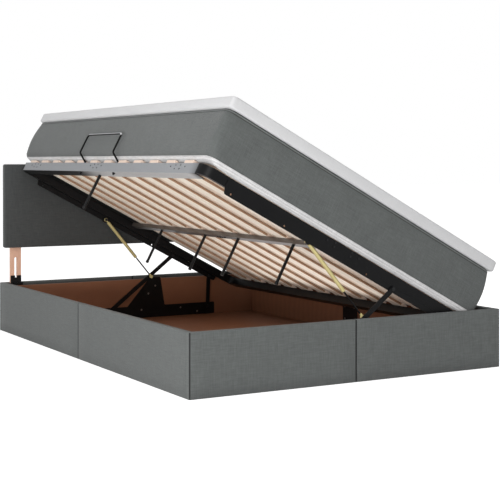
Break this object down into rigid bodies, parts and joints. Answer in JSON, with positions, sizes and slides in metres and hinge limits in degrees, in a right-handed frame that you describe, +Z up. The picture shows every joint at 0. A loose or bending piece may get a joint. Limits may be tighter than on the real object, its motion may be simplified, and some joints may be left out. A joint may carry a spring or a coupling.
{
  "type": "storage bed",
  "caption": "Upholstered storage bed with its slatted lid raised on gas struts, carrying a mattress and topper, and a flat headboard on slotted legs.",
  "frame": {"origin": "centre of the box's footprint on the floor", "axes": "+Z up, +Y from the foot end to the headboard, +X towards the hinged long side"},
  "size_m": [1.4464, 2.11, 1.0871],
  "materials": {
    "dark_fabric": "matte",
    "headboard_fabric": "matte",
    "brown_board": "satin",
    "timber": "matte",
    "leg_timber": "matte",
    "black_steel": "gloss",
    "zinc": "satin",
    "black_plastic": "matte",
    "pale_plastic": "satin",
    "birch": "satin",
    "strut_tube": "gloss",
    "strut_rod": "gloss",
    "grey_ticking": "matte",
    "white_ticking": "matte"
  },
  "bodies": {
    "box": {"side_board_left_foot": "brown_board", "side_cover_left_foot": "dark_fabric", "side_board_left_head": "brown_board", "side_cover_left_head": "dark_fabric", "side_board_right_foot": "brown_board", "side_cover_right_foot": "dark_fabric", "side_board_right_head": "brown_board", "side_cover_right_head": "dark_fabric", "end_board_foot_left": "brown_board", "end_cover_foot_left": "dark_fabric", "end_board_foot_right": "brown_board", "end_cover_foot_right": "dark_fabric", "end_board_head_left": "brown_board", "end_cover_head_left": "dark_fabric", "end_board_head_right": "brown_board", "end_cover_head_right": "dark_fabric", "floor_board_left": "brown_board", "floor_board_right": "brown_board", "centre_joist": "timber", "floor_ledgers": "timber", "inner_head_board": "brown_board", "seam_plates": "black_steel", "corner_angles": "black_steel", "base_bracket_foot": "black_steel", "base_bracket_head": "black_steel", "base_pivot_pins": "zinc", "box_screws": "zinc", "headboard_clamps": "black_steel", "clamp_bolts": "black_plastic"},
    "long_link_foot": {"long_link_foot": "black_steel"},
    "lid": {"rail_left": "black_steel", "rail_right": "black_steel", "end_rail_foot": "black_steel", "end_rail_head": "black_steel", "centre_beam": "black_steel", "centre_legs": "black_steel", "rail_leg": "black_steel", "leg_tips": "black_plastic", "beam_bolts": "zinc", "slats_left": "birch", "slats_right": "birch", "slat_holders": "pale_plastic", "handle": "black_steel", "handle_nuts": "zinc", "end_plate_foot": "black_steel", "end_plate_head": "black_steel", "plate_bolts": "zinc", "lid_pins": "zinc", "mattress": "grey_ticking", "topper": "white_ticking"},
    "long_link_head": {"long_link_head": "black_steel"},
    "short_link_foot": {"short_link_foot": "black_steel"},
    "short_link_head": {"short_link_head": "black_steel"},
    "strut_tube_foot": {"strut_tube_foot": "strut_tube"},
    "strut_tube_head": {"strut_tube_head": "strut_tube"},
    "strut_rod_foot": {"strut_rod_foot": "strut_rod"},
    "strut_rod_head": {"strut_rod_head": "strut_rod"},
    "headboard": {"headboard_panel": "headboard_fabric", "headboard_legs": "leg_timber"}
  },
  "joints": [
    {"name": "lid_lift", "type": "hinge", "parent": "box", "child": "long_link_foot", "pos_m": [-0.19814, 0, 0.0399], "axis": [0, 1, 0], "range_deg": [0, 21.62], "stiffness_Nm_per_rad": 930, "springref_deg": -143.24},
    {"name": "lid_turn", "type": "hinge", "parent": "long_link_foot", "child": "lid", "pos_m": [0.19845, 0, 0.34618], "axis": [0, 1, 0], "range_deg": [-49.53, 0]},
    {"name": "long_link_head_turn", "type": "hinge", "parent": "box", "child": "long_link_head", "pos_m": [-0.19814, 0, 0.0399], "axis": [0, 1, 0], "range_deg": [0, 21.63]},
    {"name": "short_link_foot_turn", "type": "hinge", "parent": "box", "child": "short_link_foot", "pos_m": [0.41253, 0, 0.066], "axis": [0, 1, 0], "range_deg": [0, 45.15]},
    {"name": "short_link_head_turn", "type": "hinge", "parent": "box", "child": "short_link_head", "pos_m": [0.41253, 0, 0.066], "axis": [0, 1, 0], "range_deg": [0, 45.15]},
    {"name": "strut_tube_foot_turn", "type": "hinge", "parent": "lid", "child": "strut_tube_foot", "pos_m": [-0.193, 0, 0.54801], "axis": [0, 1, 0], "range_deg": [-12.99, 0]},
    {"name": "strut_rod_foot_slide", "type": "slide", "parent": "strut_tube_foot", "child": "strut_rod_foot", "axis": [0.6449, 0, -0.7643], "range_m": [-0.11959, 0]},
    {"name": "strut_tube_head_turn", "type": "hinge", "parent": "lid", "child": "strut_tube_head", "pos_m": [-0.193, 0, 0.54801], "axis": [0, 1, 0], "range_deg": [-12.99, 0]},
    {"name": "strut_rod_head_slide", "type": "slide", "parent": "strut_tube_head", "child": "strut_rod_head", "axis": [0.6449, 0, -0.7643], "range_m": [-0.11959, 0]},
    {"name": "headboard_slide", "type": "slide", "parent": "box", "child": "headboard", "axis": [0, 0, 1], "range_m": [-0.1, 0]}
  ],
  "couplings": [
    {"joint": "lid_turn", "follows": "lid_lift", "ratio": -2.2904},
    {"joint": "long_link_head_turn", "follows": "lid_lift", "ratio": 1},
    {"joint": "short_link_foot_turn", "follows": "lid_lift", "ratio": 2.088},
    {"joint": "short_link_head_turn", "follows": "lid_lift", "ratio": 2.088},
    {"joint": "strut_tube_foot_turn", "follows": "lid_lift", "ratio": -0.60058},
    {"joint": "strut_rod_foot_slide", "follows": "lid_lift", "m_per_rad": -0.31665},
    {"joint": "strut_tube_head_turn", "follows": "lid_lift", "ratio": -0.60058},
    {"joint": "strut_rod_head_slide", "follows": "lid_lift", "m_per_rad": -0.31665}
  ]
}
